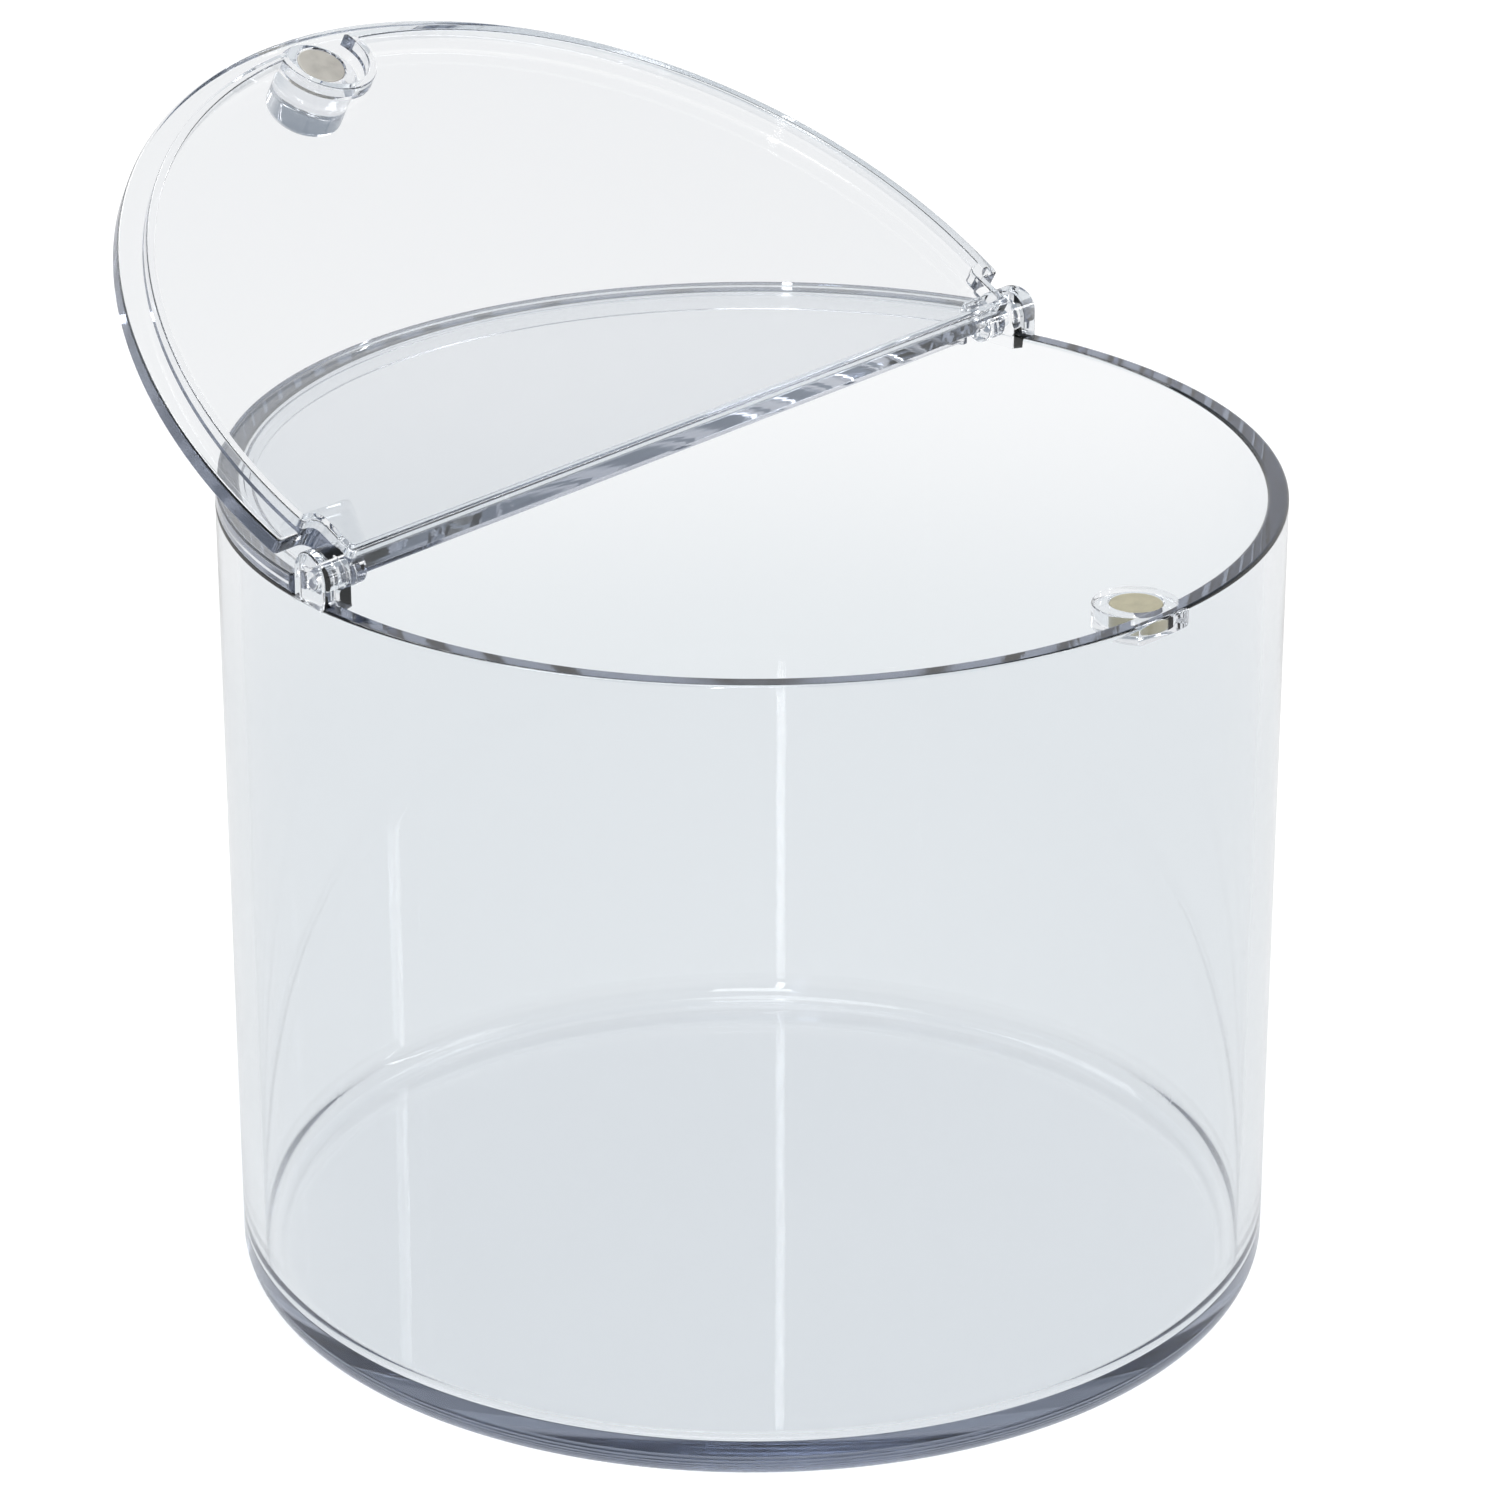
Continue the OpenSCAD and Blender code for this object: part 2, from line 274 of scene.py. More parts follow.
def rounded_outline(corners):
    """Closed outline whose corners (x, y, radius) are arcs that touch both sides.

    The arc starts radius * tan(turn / 2) before the corner, its centre lies one radius to the inner
    side of the turn, and the spoke from centre to start is turned in even shares of the turn.
    """
    corners = np.asarray(corners, float)
    point, radius = corners[:, :2], corners[:, 2]
    into = point - np.roll(point, 1, axis=0)
    into /= np.linalg.norm(into, axis=1, keepdims=True)
    onward = np.roll(into, -1, axis=0)
    turn = np.arctan2(into[:, 0] * onward[:, 1] - into[:, 1] * onward[:, 0], (into * onward).sum(axis=1))
    start = point - into * (radius * np.tan(np.abs(turn) / 2.0))[:, None]
    left = np.stack([-into[:, 1], into[:, 0]], axis=1)
    centre = start + left * (radius * np.sign(turn))[:, None]
    spoke = (start - centre)[:, None, :]
    share = np.linspace(0.0, 1.0, CORNER_STEPS + 1)
    angle = turn[:, None] * share
    turned_spoke = np.stack([
        spoke[..., 0] * np.cos(angle) - spoke[..., 1] * np.sin(angle),
        spoke[..., 0] * np.sin(angle) + spoke[..., 1] * np.cos(angle)], axis=2)
    keep = (radius > 0.0)[:, None] | (share == 0.0)[None, :]
    return (centre[:, None, :] + turned_spoke)[keep]


def inset(outline, by):
    """Closed outline moved inwards along the mean of each point's side normals, more at a corner."""
    into = outline - np.roll(outline, 1, axis=0)
    into /= np.linalg.norm(into, axis=1, keepdims=True)
    onward = np.roll(into, -1, axis=0)
    first = np.stack([-into[:, 1], into[:, 0]], axis=1)
    second = np.stack([-onward[:, 1], onward[:, 0]], axis=1)
    stretch = 1.0 + (first * second).sum(axis=1, keepdims=True)
    return outline + by * (first + second) / stretch


def flap_corners(radius, edge_y, end_x, notch_y, corner, notch_corner):
    """Corners of the half round outline in front of edge_y, notched at both ends. Anticlockwise."""
    notch_angle = math.degrees(math.asin(notch_y / radius))
    notch_out = radius * math.cos(math.radians(notch_angle))
    front = rim_arc(radius, 180.0 - notch_angle, 360.0 + notch_angle)[1:-1]
    return joined(
        with_radius([end_x, notch_y], notch_corner), with_radius([end_x, edge_y], corner),
        with_radius([-end_x, edge_y], corner), with_radius([-end_x, notch_y], notch_corner),
        with_radius([-notch_out, notch_y], corner), with_radius(front),
        with_radius([notch_out, notch_y], corner))


# Surfaces

def band_faces(rings, points):
    """Quads between neighbouring closed rings, facing away from the axis when the rings rise."""
    ring = np.arange(rings - 1)[:, None] * points
    step = np.arange(points)[None, :]
    onward = (step + 1) % points
    quads = np.stack([ring + step, ring + onward, ring + points + onward, ring + points + step], axis=2)
    return quads.reshape(-1, 4).tolist()


def turned(profile, turns=TURNS):
    """Closed surface of revolution about Z.

    A profile point (r, z) becomes the ring (r cos t, r sin t, z). The profile runs from the lower pole
    out, up and back to the upper pole, and both poles are closed with triangles.
    """
    profile = np.asarray(profile, float)
    angle = np.linspace(0.0, 2.0 * np.pi, turns, endpoint=False)
    r, z = profile[1:-1, 0, None], profile[1:-1, 1, None]
    rings = np.stack([r * np.cos(angle), r * np.sin(angle), z + 0.0 * angle], axis=2)
    poles = [[0.0, 0.0, profile[0, 1]], [0.0, 0.0, profile[-1, 1]]]
    points = np.concatenate([rings.reshape(-1, 3), poles])
    step = np.arange(turns)
    onward = (step + 1) % turns
    lower, upper, last = len(points) - 2, len(points) - 1, (len(profile) - 3) * turns
    foot = np.stack([np.full(turns, lower), onward, step], axis=1).tolist()
    head = np.stack([last + step, last + onward, np.full(turns, upper)], axis=1).tolist()
    return points, band_faces(len(profile) - 2, turns) + foot + head


def rounded_prism(outline, low, high, low_edge, high_edge, steps=EDGE_STEPS):
    """Closed prism over an outline, with rounded edges at both ends.

    The outline's inset is edge * (1 - sin a) at edge * (1 - cos a) above the lower end, and the same
    below the upper end. low and high are one number, or one for each point of the outline.
    """
    angle = np.linspace(0.0, np.pi / 2.0, steps + 1)
    ones = np.ones(len(outline))
    rings = []
    for end, edge, way, angles in ((low, low_edge, 1.0, angle), (high, high_edge, -1.0, angle[::-1])):
        for a in angles if edge > 0.0 else angle[-1:]:
            flat = inset(outline, edge * (1.0 - math.sin(a)))
            rings.append(np.column_stack([flat, ones * end + way * edge * (1.0 - math.cos(a))]))
    count = len(outline)
    faces = band_faces(len(rings), count)
    faces.append(list(range(count - 1, -1, -1)))
    faces.append(list(range((len(rings) - 1) * count, len(rings) * count)))
    return np.concatenate(rings), faces


def along_x(shell):
    """Turns a shell drawn in (Y, Z) and raised along its third axis so that it runs along X."""
    points, faces = shell
    return points[:, [2, 0, 1]], faces


def along_y(shell):
    """Turns a shell drawn in (Z, X) and raised along its third axis so that it runs along Y."""
    points, faces = shell
    return points[:, [1, 2, 0]], faces


def moved(shell, y, z=0.0):
    """A shell in another place."""
    points, faces = shell
    return points + [0.0, y, z], faces


# Meshes

def shell_object(shell):
    """A working object from a shell, in millimetres."""
    points, faces = shell
    mesh = bpy.data.meshes.new("shell")
    mesh.from_pydata(points.tolist(), [], faces)
    item = bpy.data.objects.new("shell", mesh)
    bpy.context.scene.collection.objects.link(item)
    return item


def one_skin(name, base, add, cut=()):
    """Unites closed shells and cuts others from them, so that clear plastic has no skin inside it."""
    host = shell_object(base)
    working = [host]
    for operation, shells in (("UNION", add), ("DIFFERENCE", cut)):
        for shell in shells:
            tool = shell_object(shell)
            working.append(tool)
            step = host.modifiers.new(operation.title(), "BOOLEAN")
            step.operation = operation
            step.solver = "EXACT"
            step.object = tool
    graph = bpy.context.evaluated_depsgraph_get()
    mesh = bpy.data.meshes.new_from_object(host.evaluated_get(graph))
    mesh.name = name
    for item in working:
        old = item.data
        bpy.data.objects.remove(item)
        bpy.data.meshes.remove(old)
    work = bmesh.new()
    work.from_mesh(mesh)
    bmesh.ops.remove_doubles(work, verts=work.verts, dist=WELD)
    bmesh.ops.dissolve_degenerate(work, edges=work.edges, dist=WELD)
    open_edges = sum(not edge.is_manifold for edge in work.edges)
    if open_edges:
        work.free()
        raise RuntimeError(f"{name} isn't closed: {open_edges} open edges")
    work.to_mesh(mesh)
    work.free()
    return mesh


def placed(mesh, place=None):
    """Takes a mesh from millimetres to its place in metres, smooth except across its sharp edges."""
    if place is not None:
        mesh.transform(place)
    mesh.transform(Matrix.Scale(MM, 4))
    mesh.shade_smooth()
    mesh.set_sharp_from_angle(angle=SHARP_ANGLE)
    return mesh


def open_stop(s):
    """Turns the shut flap about the hinge to its open stop."""
    axis = Vector((0.0, s.hinge_y, s.hinge_z))
    return Matrix.Translation(axis) @ Matrix.Rotation(-s.open_angle, 4, "X") @ Matrix.Translation(-axis)


def piece(name, mesh, material, body, node):
    """Makes a finished piece that rides on a body and stands for a node of the frame."""
    item = bpy.data.objects.new(name, mesh)
    bpy.context.scene.collection.objects.link(item)
    mesh.materials.clear()
    mesh.materials.append(material)
    even = item.modifiers.new("Even normals", "WEIGHTED_NORMAL")
    even.keep_sharp = True
    even.weight = 60
    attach(item, body)
    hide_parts(node)


# Shells of the bin

def wall_and_floor(s):
    """Turned profile: flat base, round foot, drafted wall, round rim, inner wall and floor corner."""
    r = s.rim_round
    return turned(joined(
        [0.0, 0.0],
        [s.foot_outer - s.foot_round - FLAT_MARGIN, 0.0],
        arc((s.foot_outer - s.foot_round, s.foot_round), s.foot_round, -90.0, 0.0, steps=14),
        arc((s.rim_radius - r, s.rim_height - r), r, 0.0, 90.0, steps=7),
        arc((s.inner_rim + r, s.rim_height - r), r, 90.0, 180.0, steps=7),
        arc((s.inner_floor - s.floor_corner, s.floor_plate + s.floor_corner), s.floor_corner,
            0.0, -90.0, steps=12),
        [s.inner_floor - s.floor_corner - FLAT_MARGIN, s.floor_plate],
        [0.0, s.floor_plate]))


def ear_outline(s):
    """Ear seen along the hinge: straight sides under a half round top, in (Y, Z)."""
    top = arc((s.hinge_y, s.ear_top), s.ear_round, 0.0, 180.0, steps=32)
    foot = s.rim_height - s.rim_round - BURIED
    return joined([s.hinge_y - s.ear_round, foot], [s.hinge_y + s.ear_round, foot], top)


def ears(s):
    """Both ears. Their outer ends follow the rim: x is the root of radius squared less y squared."""
    outline = ear_outline(s)
    outer = np.sqrt((s.rim_radius - 2 * HAIR) ** 2 - outline[:, 0] ** 2)
    right = rounded_prism(outline, s.ear_in, outer, s.ear_edge, s.ear_edge)
    left = rounded_prism(outline, -outer, -s.ear_in, s.ear_edge, s.ear_edge)
    return [along_x(right), along_x(left)]


def ear_feet(s):
    """Sloped feet that carry the ears on the inside of the wall, drawn in (Z, X)."""
    top = s.rim_height - s.rim_round
    near, far = s.ear_in + 3 * HAIR, s.inner_rim + BURIED
    slope = [[top - BURIED, near], [top, near], [top, far], [top - s.ear_foot, far]]
    right = np.asarray(slope[::-1] if outline_turns_right(slope) else slope, float)
    left = right[::-1] * [1.0, -1.0]
    low, high = s.hinge_y - s.ear_round + 3 * HAIR, s.hinge_y + s.ear_round - 3 * HAIR
    edge = s.ear_edge / 4
    return [along_y(rounded_prism(side, low, high, edge, edge)) for side in (right, left)]


def outline_turns_right(points):
    """True if a closed outline runs clockwise, by the sign of its enclosed area."""
    points = np.asarray(points, float)
    following = np.roll(points, -1, axis=0)
    return (points[:, 0] * following[:, 1] - points[:, 1] * following[:, 0]).sum() < 0.0


def magnet_boss(s):
    """Turned boss that hangs inside the rim under the bin's magnet."""
    low, high = s.rim_height - s.pocket_depth - s.boss_floor, s.rim_height - HAIR
    return moved(turned(joined(
        [0.0, low],
        arc((s.boss - s.boss_edge, low + s.boss_edge), s.boss_edge, -90.0, 0.0, steps=5),
        arc((s.boss - s.boss_edge / 2, high - s.boss_edge / 2), s.boss_edge / 2, 0.0, 90.0, steps=4),
        [0.0, high]), ROUND_TURNS), y=s.catch_y)


def bore_cut(s, side):
    """Pivot bore in one ear, with a small lead at its mouth."""
    r = s.pin + s.pin_play
    inner, outer = s.ear_in - BURIED, s.ear_in + s.bore_depth
    profile = joined(
        [0.0, inner], [r + BORE_LEAD + BURIED, inner], [r, s.ear_in + BORE_LEAD], [r, outer],
        [0.0, outer])
    if side < 0:
        profile = profile[::-1] * [1.0, -1.0]
    return moved(along_x(turned(profile, PIN_TURNS)), y=s.hinge_y, z=s.hinge_z)


def pocket_cut(s, face_z, way):
    """Magnet pocket that opens at face_z, upwards or downwards, with a chamfered mouth."""
    r, mouth = s.pocket, s.pocket_mouth
    deep = face_z - way * s.pocket_depth
    profile = joined(
        [0.0, deep], [r, deep], [r, face_z - way * mouth],
        [r + mouth + BURIED, face_z + way * BURIED], [0.0, face_z + way * BURIED])
    if way < 0:
        profile = profile[::-1]
    return moved(turned(profile, POCKET_TURNS), y=s.catch_y)


def clear_bin_mesh(s):
    """Wall, floor, ears and boss as one skin, with the bores and the magnet pocket cut out."""
    add = ears(s) + ear_feet(s) + [magnet_boss(s)]
    cut = [bore_cut(s, 1), bore_cut(s, -1), pocket_cut(s, s.rim_height, 1)]
    return one_skin("clear_bin", wall_and_floor(s), add, cut)


# Shells of the rear cover and the flap

def rear_cover_mesh(s):
    """Rear plate, stepped round the knuckles and the ears, with an arc of rib under it."""
    knuckle_x = s.knuckle_in - s.swing_gap
    knuckle_y = s.hinge_y + s.knuckle + s.swing_gap
    ear_x = s.ear_in - s.swing_gap
    ear_y = s.ear_rear + s.swing_gap
    angle = math.degrees(math.asin(ear_y / s.rim_radius))
    tip_x = s.rim_radius * math.cos(math.radians(angle))
    back = rim_arc(s.rim_radius, angle, 180.0 - angle)[1:-1]
    corner = s.plate_round + CORNER_SPARE
    outline = rounded_outline(joined(
        with_radius([-knuckle_x, s.cover_edge], corner), with_radius([knuckle_x, s.cover_edge], corner),
        with_radius([knuckle_x, knuckle_y], CORNER_ROUND), with_radius([ear_x, knuckle_y], corner),
        with_radius([ear_x, ear_y], CORNER_ROUND), with_radius([tip_x, ear_y], s.plate_corner),
        with_radius(back),
        with_radius([-tip_x, ear_y], s.plate_corner), with_radius([-ear_x, ear_y], CORNER_ROUND),
        with_radius([-ear_x, knuckle_y], corner), with_radius([-knuckle_x, knuckle_y], CORNER_ROUND)))
    plate = rounded_prism(outline, s.rim_height + HAIR, s.cover_top, s.plate_round, s.plate_round)
    rib_y = ear_y + s.rib
    outer_angle = math.degrees(math.asin(rib_y / s.rib_outer))
    inner_angle = math.degrees(math.asin(rib_y / s.rib_inner))
    outer_run = rim_arc(s.rib_outer, outer_angle, 180.0 - outer_angle)
    inner_run = rim_arc(s.rib_inner, 180.0 - inner_angle, inner_angle)
    rib_outline = rounded_outline(joined(round_ended(outer_run), round_ended(inner_run)))
    low, high = s.rim_height - s.rib_height, s.rim_height + s.plate / 2
    rib = rounded_prism(rib_outline, low, high, RIB_EDGE, 0.0)
    return one_skin("rear_cover_plate", plate, [rib])


def flap_rib(s):
    """Rib round the whole flap, open where it meets the bend round the boss, with a rounded lower edge.

    The inner side's notch corner has less than the outer radius plus the rib, because the side that
    it ends on is short and the outline would fold over.
    """
    edge, end, notch = s.flap_edge - HAIR, s.knuckle_out - HAIR, s.flap_notch - HAIR
    runs = []
    opening = s.boss + s.rib_gap + s.rib / 2
    sides = ((s.rib_outer, 0.0, s.notch_corner), (s.rib_inner, s.rib, s.notch_corner + RIB_CORNER_EXTRA))
    for radius, back, corner in sides:
        meet_y = (opening ** 2 - radius ** 2 - s.catch_y ** 2) / (-2 * s.catch_y)
        meet = math.degrees(math.atan2(meet_y, math.sqrt(radius ** 2 - meet_y ** 2)))
        side_y = notch - back
        side = math.degrees(math.asin(side_y / radius))
        right = rim_arc(radius, meet, side)
        half = joined(
            with_radius(right[:-1]), with_radius(right[-1:], CORNER_ROUND),
            with_radius([end - back, side_y], corner),
            with_radius([end - back, edge - back], s.plate_corner))
        runs.append(joined(half, half[::-1] * [-1.0, 1.0, 1.0]))
    outline = rounded_outline(joined(runs[0], runs[1][::-1]))
    return rounded_prism(outline, s.flap_z - s.rib_height, s.flap_z + s.plate / 3, RIB_EDGE, 0.0)


def rib_bend(s):
    """Part of the rib that bends inwards round the boss: a band between two arcs about the catch.

    An arc of radius r about the catch, at distance d from the middle, meets the circle of radius R at
    the angle from the inward direction whose cosine is (r squared + d squared - R squared) / (2 d r).
    """
    near, far, reach = s.boss + s.rib_gap, s.boss + s.rib_gap + s.rib, s.rib_outer - HAIR
    near_end, far_end = (
        math.degrees(math.acos((r ** 2 + s.catch_y ** 2 - reach ** 2) / (-2 * s.catch_y * r)))
        for r in (near, far))
    outline = joined(
        arc((0.0, s.catch_y), far, 90.0 - far_end, 90.0 + far_end, steps=64),
        arc((0.0, s.catch_y), near, 90.0 + near_end, 90.0 - near_end, steps=64))
    low, high = s.flap_z - s.rib_height + HAIR, s.flap_z + s.plate / 3 + HAIR
    return rounded_prism(outline, low, high, RIB_EDGE, 0.0)


def when_shut(s, y, z):
    """A point of the open lid, measured from the hinge, as it lies in the shut lid."""
    c, d = math.cos(s.open_angle), math.sin(s.open_angle)
    return [y * c - z * d, y * d + z * c]


def knuckles(s):
    """Knuckles seen along the hinge: round from the tail over the top to the heel, then the heel."""
    stop = s.cover_top + s.heel_gap - s.hinge_z
    middle = s.flap_z + s.plate / 2 - s.hinge_z
    tail = s.flap_tail - HAIR
    tip = when_shut(s, s.heel_reach, stop)
    meet = when_shut(s, math.sqrt(s.knuckle ** 2 - stop ** 2), stop)
    start = -math.degrees(math.acos(tail / s.knuckle))
    end = math.degrees(math.atan2(meet[1], meet[0]))
    outline = rounded_outline(joined(
        with_radius([tip[0], middle]), with_radius([tail, middle]),
        with_radius(arc((0.0, 0.0), s.knuckle, start, end, steps=40)), with_radius(tip, HEEL_TIP_ROUND)))
    shells = []
    for low, high in ((s.knuckle_in, s.knuckle_out - HAIR), (-s.knuckle_out + HAIR, -s.knuckle_in)):
        block = rounded_prism(outline, low, high, s.knuckle_edge, s.knuckle_edge, steps=3)
        shells.append(moved(along_x(block), y=s.hinge_y, z=s.hinge_z))
    return shells


def pivot_pins(s):
    """Turned pins on the outer ends of the knuckles, with a small chamfer."""
    near, far = s.knuckle_out - BURIED, s.pin_end
    profile = joined(
        [0.0, near], [s.pin, near], [s.pin, far - PIN_CHAMFER], [s.pin - PIN_CHAMFER, far], [0.0, far])
    sides = (profile, profile[::-1] * [1.0, -1.0])
    return [moved(along_x(turned(side, PIN_TURNS)), y=s.hinge_y, z=s.hinge_z) for side in sides]


def knob(s):
    """Turned knob over the flap's magnet, with a fillet at its foot and a rounded top edge."""
    low, top = s.flap_top, s.flap_top + s.knob_height
    fillet, edge = s.knob_fillet, s.knob_edge
    return moved(turned(joined(
        [0.0, low - KNOB_ROOT], [s.knob + fillet, low - KNOB_ROOT],
        arc((s.knob + fillet, low + fillet - HAIR / 2), fillet, 270.0, 180.0, steps=6),
        arc((s.knob - edge, top - edge), edge, 0.0, 90.0, steps=10),
        [0.0, top]), ROUND_TURNS), y=s.catch_y)


def flap_mesh(s):
    """Plate, rib, knob, knuckles and pins as one skin, with the magnet pocket cut from below."""
    corners = flap_corners(
        s.rim_radius, s.flap_edge, s.knuckle_out, s.flap_notch, s.plate_corner, s.notch_corner)
    plate = rounded_prism(rounded_outline(corners), s.flap_z, s.flap_top, s.plate_round, s.plate_round)
    add = [flap_rib(s), rib_bend(s), knob(s)] + knuckles(s) + pivot_pins(s)
    return one_skin("flap_lid_plate", plate, add, [pocket_cut(s, s.flap_z, -1)])


def magnet_mesh(s, name, low):
    """Turned disc with rounded edges."""
    high, r, edge = low + s.magnet_height - HAIR, s.magnet, s.magnet_edge
    points, faces = moved(turned(joined(
        [0.0, low], [r - edge - MAGNET_FLAT, low],
        arc((r - edge, low + edge), edge, -90.0, 0.0, steps=6),
        arc((r - edge, high - edge), edge, 0.0, 90.0, steps=6),
        [r - edge - MAGNET_FLAT, high], [0.0, high]), ROUND_TURNS), y=s.catch_y)
    mesh = bpy.data.meshes.new(name)
    mesh.from_pydata(points.tolist(), [], faces)
    return mesh


# Materials

def new_nodes(tree, layout_nodes):
    """Adds nodes named by key from (type, settings) pairs and sets their settings."""
    made = {}
    for key, (kind, settings) in layout_nodes.items():
        node = tree.nodes.new(kind)
        node.name = node.label = key
        for setting, value in settings.items():
            setattr(node, setting, value)
        made[key] = node
    return made


def handling_marks_group():
    """Fine scuffs and the soft waviness of moulded plastic, as a roughness and a height."""
    name = "Handling marks"
    if name in bpy.data.node_groups:
        return bpy.data.node_groups[name]
    group = bpy.data.node_groups.new(name, "ShaderNodeTree")
    sockets = group.interface
    sockets.new_socket("Vector", in_out="INPUT", socket_type="NodeSocketVector")
    for label, default in (("Least roughness", 0.0), ("Most roughness", 0.05), ("Scuff scale", 90.0)):
        sockets.new_socket(label, in_out="INPUT", socket_type="NodeSocketFloat").default_value = default
    sockets.new_socket("Roughness", in_out="OUTPUT", socket_type="NodeSocketFloat")
    sockets.new_socket("Height", in_out="OUTPUT", socket_type="NodeSocketFloat")
    n = new_nodes(group, {
        "In": ("NodeGroupInput", {}),
        "Scuffs": ("ShaderNodeTexNoise", {}),
        "Scuff range": ("ShaderNodeMapRange", {}),
        "Waviness": ("ShaderNodeTexNoise", {}),
        "Out": ("NodeGroupOutput", {}),
    })
    link = group.links.new
    link(n["In"].outputs["Vector"], n["Scuffs"].inputs["Vector"])
    link(n["In"].outputs["Scuff scale"], n["Scuffs"].inputs["Scale"])
    n["Scuffs"].inputs["Detail"].default_value = 6.0
    n["Scuffs"].inputs["Roughness"].default_value = 0.65
    n["Scuff range"].inputs["From Min"].default_value = 0.45
    n["Scuff range"].inputs["From Max"].default_value = 0.80
    link(n["Scuffs"].outputs["Fac"], n["Scuff range"].inputs["Value"])
    link(n["In"].outputs["Least roughness"], n["Scuff range"].inputs["To Min"])
    link(n["In"].outputs["Most roughness"], n["Scuff range"].inputs["To Max"])
    link(n["In"].outputs["Vector"], n["Waviness"].inputs["Vector"])
    n["Waviness"].inputs["Scale"].default_value = 26.0
    n["Waviness"].inputs["Detail"].default_value = 1.0
    link(n["Scuff range"].outputs["Result"], n["Out"].inputs["Roughness"])
    link(n["Waviness"].outputs["Fac"], n["Out"].inputs["Height"])
    return group


def clear_plastic(name, finishes, marks, waviness):
    """Clear moulded plastic: tinted in depth, faintly scuffed and wavy, with a light shadow."""
    material = bpy.data.materials.new(name)
    material.use_nodes = True
    tree = material.node_tree
    tree.nodes.clear()
    n = new_nodes(tree, {
        "Place": ("ShaderNodeTexCoord", {}),
        "Handling marks": ("ShaderNodeGroup", {"node_tree": handling_marks_group()}),
        "Moulded surface": ("ShaderNodeBump", {}),
        "Plastic": ("ShaderNodeBsdfPrincipled", {}),
        "Shadow light": ("ShaderNodeBsdfTransparent", {}),
        "Ray": ("ShaderNodeLightPath", {}),
        "Plastic or shadow": ("ShaderNodeMixShader", {}),
        "Deep tint": ("ShaderNodeVolumeAbsorption", {}),
        "Output": ("ShaderNodeOutputMaterial", {}),
    })
    link = tree.links.new
    n["Handling marks"].inputs["Most roughness"].default_value = marks
    link(n["Place"].outputs["Object"], n["Handling marks"].inputs["Vector"])
    link(n["Handling marks"].outputs["Roughness"], n["Plastic"].inputs["Roughness"])
    link(n["Handling marks"].outputs["Height"], n["Moulded surface"].inputs["Height"])
    n["Moulded surface"].inputs["Strength"].default_value = waviness
    n["Moulded surface"].inputs["Distance"].default_value = 0.001
    link(n["Moulded surface"].outputs["Normal"], n["Plastic"].inputs["Normal"])
    n["Plastic"].inputs["Base Color"].default_value = (*finishes.plastic, 1.0)
    n["Plastic"].inputs["Metallic"].default_value = 0.0
    n["Plastic"].inputs["IOR"].default_value = 1.49
    n["Plastic"].inputs["Transmission Weight"].default_value = 1.0
    n["Shadow light"].inputs["Color"].default_value = (0.90, 0.915, 0.93, 1.0)
    link(n["Ray"].outputs["Is Shadow Ray"], n["Plastic or shadow"].inputs["Fac"])
    link(n["Plastic"].outputs["BSDF"], n["Plastic or shadow"].inputs[1])
    link(n["Shadow light"].outputs["BSDF"], n["Plastic or shadow"].inputs[2])
    n["Deep tint"].inputs["Color"].default_value = (*finishes.body_tint, 1.0)
    n["Deep tint"].inputs["Density"].default_value = finishes.body_density
    link(n["Plastic or shadow"].outputs["Shader"], n["Output"].inputs["Surface"])
    link(n["Deep tint"].outputs["Volume"], n["Output"].inputs["Volume"])
    return material


def plating_wear_group():
    """Dull plating: cloudy tarnish in the colour, fine marks in the roughness and a low orange peel."""
    name = "Plating wear"
    if name in bpy.data.node_groups:
        return bpy.data.node_groups[name]
    group = bpy.data.node_groups.new(name, "ShaderNodeTree")
    sockets = group.interface
    sockets.new_socket("Vector", in_out="INPUT", socket_type="NodeSocketVector")
    sockets.new_socket("Plating", in_out="INPUT", socket_type="NodeSocketColor")
    sockets.new_socket("Tarnish", in_out="INPUT", socket_type="NodeSocketColor")
    sockets.new_socket("Color", in_out="OUTPUT", socket_type="NodeSocketColor")
    sockets.new_socket("Roughness", in_out="OUTPUT", socket_type="NodeSocketFloat")
    sockets.new_socket("Height", in_out="OUTPUT", socket_type="NodeSocketFloat")
    n = new_nodes(group, {
        "In": ("NodeGroupInput", {}),
        "Clouds": ("ShaderNodeTexNoise", {}),
        "Cloud range": ("ShaderNodeMapRange", {}),
        "Tarnished": ("ShaderNodeMix", {"data_type": "RGBA"}),
        "Fine marks": ("ShaderNodeTexNoise", {}),
        "Mark range": ("ShaderNodeMapRange", {}),
        "Out": ("NodeGroupOutput", {}),
    })
    link = group.links.new
    link(n["In"].outputs["Vector"], n["Clouds"].inputs["Vector"])
    link(n["In"].outputs["Vector"], n["Fine marks"].inputs["Vector"])
    n["Clouds"].inputs["Scale"].default_value = 420.0
    n["Clouds"].inputs["Detail"].default_value = 4.0
    n["Fine marks"].inputs["Scale"].default_value = 2600.0
    n["Fine marks"].inputs["Detail"].default_value = 3.0
    n["Cloud range"].inputs["From Min"].default_value = 0.40
    n["Cloud range"].inputs["From Max"].default_value = 0.72
    link(n["Clouds"].outputs["Fac"], n["Cloud range"].inputs["Value"])
    link(n["Cloud range"].outputs["Result"], n["Tarnished"].inputs["Factor"])
    link(n["In"].outputs["Plating"], n["Tarnished"].inputs["A"])
    link(n["In"].outputs["Tarnish"], n["Tarnished"].inputs["B"])
    n["Mark range"].inputs["To Min"].default_value = 0.34
    n["Mark range"].inputs["To Max"].default_value = 0.52
    link(n["Fine marks"].outputs["Fac"], n["Mark range"].inputs["Value"])
    link(n["Tarnished"].outputs["Result"], n["Out"].inputs["Color"])
    link(n["Mark range"].outputs["Result"], n["Out"].inputs["Roughness"])
    link(n["Fine marks"].outputs["Fac"], n["Out"].inputs["Height"])
    return group


